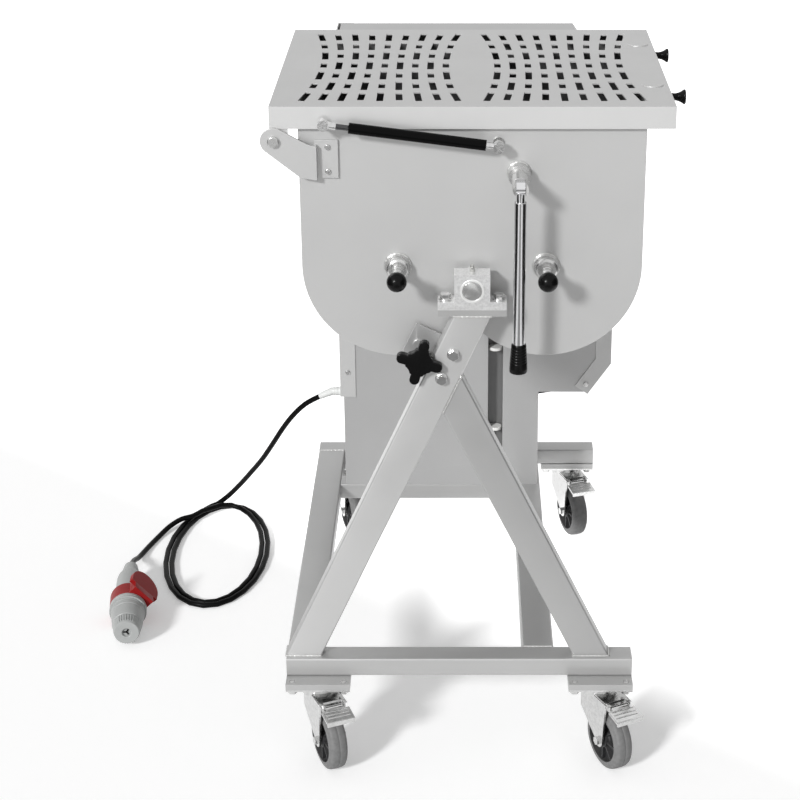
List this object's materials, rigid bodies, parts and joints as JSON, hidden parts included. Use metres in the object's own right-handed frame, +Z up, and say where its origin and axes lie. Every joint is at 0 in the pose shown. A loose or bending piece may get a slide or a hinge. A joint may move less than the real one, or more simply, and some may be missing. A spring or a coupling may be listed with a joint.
{
  "type": "meat mixer",
  "caption": "Wheeled stainless meat mixer: tilting twin-shaft tank with a slotted hinged lid on an A-frame, a rear drive cabinet and a coiled power cord.",
  "frame": {"origin": "on the floor under the middle of the machine, its free cord left out", "axes": "+X along the front crossbar towards the lid catches, +Y from the trunnion end to the drive cabinet, +Z up"},
  "size_m": [0.9613, 0.982, 1.0506],
  "materials": {
    "satin_stainless": "bead-blasted stainless sheet and tube, fine even satin",
    "cabinet_sheet": "satin stainless cabinet sheet",
    "milled_aluminium": "bright milled, fine cutter marks",
    "bush_bronze": "pale sintered bronze bush",
    "zinc_fixings": "bright zinc-plated bolts and nuts",
    "caster_zinc": "bright zinc-plated pressed steel",
    "caster_rubber": "dark grey rubber tread on a black core",
    "nipple_brass": "plated brass nipple",
    "black_plastic": "glossy black moulded plastic",
    "pin_steel": "polished pins with black caps",
    "handle_tube": "polished stainless tube",
    "strut_black": "black painted gas spring cylinder",
    "strut_steel": "polished rod and ball ends",
    "paddle_steel": "ground stainless",
    "gear_steel": "oiled machined steel",
    "motor_grey": "grey enamel",
    "buffer_white": "white nylon",
    "start_green": "green push button",
    "stop_red": "red push button",
    "gland_grey": "light grey polyamide",
    "cord_rubber": "black rubber sheath",
    "plug_grey": "light grey moulded plastic",
    "connector_red": "red moulded plastic"
  },
  "bodies": {
    "frame": {"crossbars": "satin_stainless", "side_rails": "satin_stainless", "frame_plates": "satin_stainless", "long_leg": "satin_stainless", "brace_leg": "satin_stainless", "bearing_block": "milled_aluminium", "bearing_bush": "bush_bronze", "frame_bolts": "zinc_fixings", "grease_nipple": "nipple_brass", "lock_bracket": "satin_stainless", "caster_plates": "caster_zinc", "cabinet_body": "cabinet_sheet", "side_covers": "cabinet_sheet", "back_panel": "cabinet_sheet", "cover_screws": "zinc_fixings", "channel_buffers": "buffer_white", "rear_bearing": "satin_stainless", "gearmotor": "motor_grey", "cable_gland": "gland_grey", "cord": "cord_rubber", "cord_loops": "cord_rubber", "plug": "plug_grey", "connector": "connector_red"},
    "lock": {"lock_knob": "black_plastic"},
    "start": {"start_button": "start_green"},
    "stop": {"stop_button": "stop_red"},
    "tank": {"tank": "satin_stainless", "end_walls": "satin_stainless", "wall_bosses": "satin_stainless", "front_trunnion": "satin_stainless", "hinge_arms": "satin_stainless", "arm_screws": "zinc_fixings", "hinge_pins": "zinc_fixings", "gear_case": "satin_stainless"},
    "lid": {"lid": "satin_stainless"},
    "front_catch": {"front_catch": "black_plastic"},
    "rear_catch": {"rear_catch": "black_plastic"},
    "strut_cylinder": {"strut_cylinder": "strut_black"},
    "strut_rod": {"strut_rod": "strut_steel"},
    "handle": {"handle_rod": "handle_tube", "handle_grip": "black_plastic"},
    "left_pin": {"left_pin": "pin_steel"},
    "right_pin": {"right_pin": "pin_steel"},
    "left_shaft": {"left_paddle": "paddle_steel", "left_gear": "gear_steel"},
    "right_shaft": {"right_paddle": "paddle_steel", "right_gear": "gear_steel"},
    "drive": {"drive_pinion": "gear_steel"},
    "fork_front_left": {"fork_front_left": "caster_zinc"},
    "wheel_front_left": {"wheel_front_left": "caster_rubber"},
    "pedal_front_left": {"pedal_front_left": "caster_zinc"},
    "fork_front_right": {"fork_front_right": "caster_zinc"},
    "wheel_front_right": {"wheel_front_right": "caster_rubber"},
    "pedal_front_right": {"pedal_front_right": "caster_zinc"},
    "fork_rear_left": {"fork_rear_left": "caster_zinc"},
    "wheel_rear_left": {"wheel_rear_left": "caster_rubber"},
    "pedal_rear_left": {"pedal_rear_left": "caster_zinc"},
    "fork_rear_right": {"fork_rear_right": "caster_zinc"},
    "wheel_rear_right": {"wheel_rear_right": "caster_rubber"},
    "pedal_rear_right": {"pedal_rear_right": "caster_zinc"}
  },
  "joints": [
    {"name": "tank_tilt", "type": "hinge", "parent": "frame", "child": "tank", "pos_m": [-0.00625, -0.33602, 0.786], "axis": [0, 1, 0], "range_deg": [0, 90]},
    {"name": "lid_hinge", "type": "hinge", "parent": "tank", "child": "lid", "pos_m": [-0.28825, -0.34602, 1], "axis": [0, -1, 0], "range_deg": [0, 90]},
    {"name": "front_catch_pull", "type": "slide", "parent": "lid", "child": "front_catch", "axis": [1, 0, 0], "range_m": [0, 0.008], "stiffness_N_per_m": 500},
    {"name": "rear_catch_pull", "type": "slide", "parent": "lid", "child": "rear_catch", "axis": [1, 0, 0], "range_m": [0, 0.008], "stiffness_N_per_m": 500},
    {"name": "strut_swing", "type": "hinge", "parent": "tank", "child": "strut_cylinder", "pos_m": [0.03075, -0.36102, 0.995], "axis": [0, 1, 0], "range_deg": [0, 5.2]},
    {"name": "strut_stroke", "type": "slide", "parent": "strut_cylinder", "child": "strut_rod", "axis": [-0.9917, 0, 0.1285], "range_m": [0, 0.1059]},
    {"name": "handle_swing", "type": "hinge", "parent": "tank", "child": "handle", "pos_m": [0.06075, -0.41002, 0.95], "axis": [-1, 0, 0], "range_deg": [0, 90]},
    {"name": "left_pin_pull", "type": "slide", "parent": "tank", "child": "left_pin", "axis": [0, -1, 0], "range_m": [0, 0.045]},
    {"name": "right_pin_pull", "type": "slide", "parent": "tank", "child": "right_pin", "axis": [0, -1, 0], "range_m": [0, 0.045]},
    {"name": "left_shaft_turn", "type": "hinge", "parent": "tank", "child": "left_shaft", "pos_m": [-0.11425, -0.33602, 0.809], "axis": [0, 1, 0], "continuous": true},
    {"name": "right_shaft_turn", "type": "hinge", "parent": "tank", "child": "right_shaft", "pos_m": [0.10175, -0.33602, 0.809], "axis": [0, 1, 0], "continuous": true},
    {"name": "drive_turn", "type": "hinge", "parent": "tank", "child": "drive", "pos_m": [-0.00625, 0.13598, 0.786], "axis": [0, 1, 0], "continuous": true},
    {"name": "lock_turn", "type": "hinge", "parent": "frame", "child": "lock", "pos_m": [-0.08325, -0.33602, 0.679], "axis": [0, 1, 0], "range_deg": [0, 360]},
    {"name": "start_push", "type": "slide", "parent": "frame", "child": "start", "axis": [0, -1, 0], "range_m": [0, 0.004], "stiffness_N_per_m": 400},
    {"name": "stop_push", "type": "slide", "parent": "frame", "child": "stop", "axis": [0, -1, 0], "range_m": [0, 0.004], "stiffness_N_per_m": 400},
    {"name": "swivel_front_left", "type": "hinge", "parent": "frame", "child": "fork_front_left", "pos_m": [-0.24525, -0.37602, 0.14], "axis": [0, 0, 1], "continuous": true},
    {"name": "roll_front_left", "type": "hinge", "parent": "fork_front_left", "child": "wheel_front_left", "pos_m": [-0.22979, -0.41073, 0.05], "axis": [0.9135, 0.4067, 0], "continuous": true},
    {"name": "brake_front_left", "type": "hinge", "parent": "fork_front_left", "child": "pedal_front_left", "pos_m": [-0.22044, -0.43174, 0.1167], "axis": [0.9135, 0.4067, 0], "range_deg": [0, 12]},
    {"name": "swivel_front_right", "type": "hinge", "parent": "frame", "child": "fork_front_right", "pos_m": [0.19475, -0.37602, 0.14], "axis": [0, 0, 1], "continuous": true},
    {"name": "roll_front_right", "type": "hinge", "parent": "fork_front_right", "child": "wheel_front_right", "pos_m": [0.212, -0.40987, 0.05], "axis": [0.891, 0.454, 0], "continuous": true},
    {"name": "brake_front_right", "type": "hinge", "parent": "fork_front_right", "child": "pedal_front_right", "pos_m": [0.22244, -0.43037, 0.1167], "axis": [0.891, 0.454, 0], "range_deg": [0, 12]},
    {"name": "swivel_rear_left", "type": "hinge", "parent": "frame", "child": "fork_rear_left", "pos_m": [-0.24525, 0.43148, 0.14], "axis": [0, 0, 1], "continuous": true},
    {"name": "roll_rear_left", "type": "hinge", "parent": "fork_rear_left", "child": "wheel_rear_left", "pos_m": [-0.23225, 0.39578, 0.05], "axis": [0.9397, 0.342, 0], "continuous": true},
    {"name": "brake_rear_left", "type": "hinge", "parent": "fork_rear_left", "child": "pedal_rear_left", "pos_m": [-0.22439, 0.37416, 0.1167], "axis": [0.9397, 0.342, 0], "range_deg": [0, 12]},
    {"name": "swivel_rear_right", "type": "hinge", "parent": "frame", "child": "fork_rear_right", "pos_m": [0.18275, 0.43148, 0.14], "axis": [0, 0, 1], "continuous": true},
    {"name": "roll_rear_right", "type": "hinge", "parent": "fork_rear_right", "child": "wheel_rear_right", "pos_m": [0.19512, 0.39555, 0.05], "axis": [0.9455, 0.3256, 0], "continuous": true},
    {"name": "brake_rear_right", "type": "hinge", "parent": "fork_rear_right", "child": "pedal_rear_right", "pos_m": [0.20261, 0.37381, 0.1167], "axis": [0.9455, 0.3256, 0], "range_deg": [0, 12]}
  ],
  "couplings": [
    {"joint": "right_shaft_turn", "follows": "left_shaft_turn", "ratio": -1},
    {"joint": "drive_turn", "follows": "left_shaft_turn", "ratio": -1.8947},
    {"joint": "strut_swing", "follows": "lid_hinge", "ratio": 0.057384},
    {"joint": "strut_stroke", "follows": "lid_hinge", "m_per_rad": 0.0671}
  ]
}
